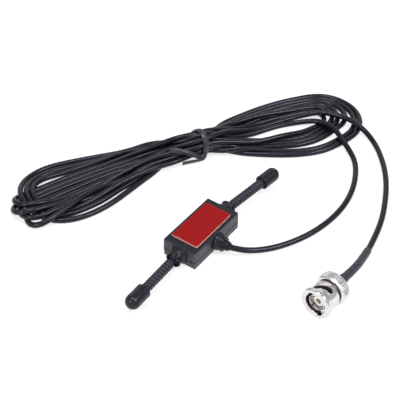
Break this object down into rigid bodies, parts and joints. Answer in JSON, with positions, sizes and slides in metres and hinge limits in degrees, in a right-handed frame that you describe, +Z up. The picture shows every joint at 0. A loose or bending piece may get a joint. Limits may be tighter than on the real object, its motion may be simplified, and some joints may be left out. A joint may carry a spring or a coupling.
{
  "type": "glass-mount dipole antenna",
  "caption": "Small adhesive-backed dipole antenna: a flat box with two short flexible ribbed arms, a thin coaxial lead tied in a hank and a bayonet coaxial plug.",
  "frame": {"origin": "centre of the box's resting face, the face opposite the tape", "axes": "+X along the arms towards the right arm, +Z up through the tape face, -Y on the lead's side"},
  "size_m": [0.1862, 0.1712, 0.0145],
  "materials": {
    "shell_plastic": "fine matt moulded",
    "board": "solder mask",
    "ferrite": "sintered",
    "chip_ceramic": "ceramic",
    "copper": "tinned strip",
    "foam": "closed-cell foam",
    "liner_film": "glossy film",
    "brass": "turned",
    "spring_steel": "drawn wire",
    "arm_rubber": "satin moulded",
    "cap_rubber": "satin dipped",
    "gland_rubber": "satin moulded",
    "cable_jacket": "smooth extruded",
    "dielectric": "natural polyethylene",
    "tie_plastic": "coated wire",
    "shrink_tube": "shrunk",
    "nickel": "bright nickel plate",
    "gold": "gold plate",
    "ptfe": "turned",
    "silicone": "moulded ring"
  },
  "bodies": {
    "box_and_lead": {"base_shell": "shell_plastic", "cover_shell": "shell_plastic", "circuit_board": "board", "balun_core": "ferrite", "chip_parts": "chip_ceramic", "feed_strips": "copper", "foam_tape": "foam", "tape_liner": "liner_film", "left_collar": "gland_rubber", "right_collar": "gland_rubber", "left_terminal": "brass", "right_terminal": "brass", "cable_gland": "gland_rubber", "strain_relief": "gland_rubber", "coax_tail": "cable_jacket", "coax_core": "dielectric", "cord_gland_run": "cable_jacket", "cord_hank": "cable_jacket", "cord_plug_run": "cable_jacket", "twist_tie": "tie_plastic", "heat_shrink": "shrink_tube", "crimp_ferrule": "nickel", "plug_coax": "dielectric", "plug_body": "nickel", "outer_contact": "nickel", "insulator": "ptfe", "centre_pin": "gold", "gasket": "silicone", "spring_washer": "spring_steel"},
    "left_arm": {"left_radiator": "spring_steel", "left_sleeve": "arm_rubber", "left_cap": "cap_rubber"},
    "right_arm": {"right_radiator": "spring_steel", "right_sleeve": "arm_rubber", "right_cap": "cap_rubber"},
    "nut_washer": {"thrust_washer": "nickel"},
    "nut": {"coupling_nut": "nickel", "retaining_ring": "spring_steel"}
  },
  "joints": [
    {"name": "left_arm_flex", "type": "hinge", "parent": "box_and_lead", "child": "left_arm", "pos_m": [-0.0195, 0, 0.0046], "axis": [0, 0, 1], "range_deg": [-21, 18], "stiffness_Nm_per_rad": 0.05},
    {"name": "right_arm_flex", "type": "hinge", "parent": "box_and_lead", "child": "right_arm", "pos_m": [0.0195, 0, 0.0046], "axis": [0, 0, 1], "range_deg": [-13, 26], "stiffness_Nm_per_rad": 0.05},
    {"name": "nut_slide", "type": "slide", "parent": "box_and_lead", "child": "nut_washer", "axis": [-0.9938, 0.1115, 0], "range_m": [0, 0.0008], "stiffness_N_per_m": 3000},
    {"name": "nut_spin", "type": "hinge", "parent": "nut_washer", "child": "nut", "pos_m": [0.00253, -0.06624, 0.00725], "axis": [-0.9938, 0.1115, 0], "continuous": true}
  ]
}
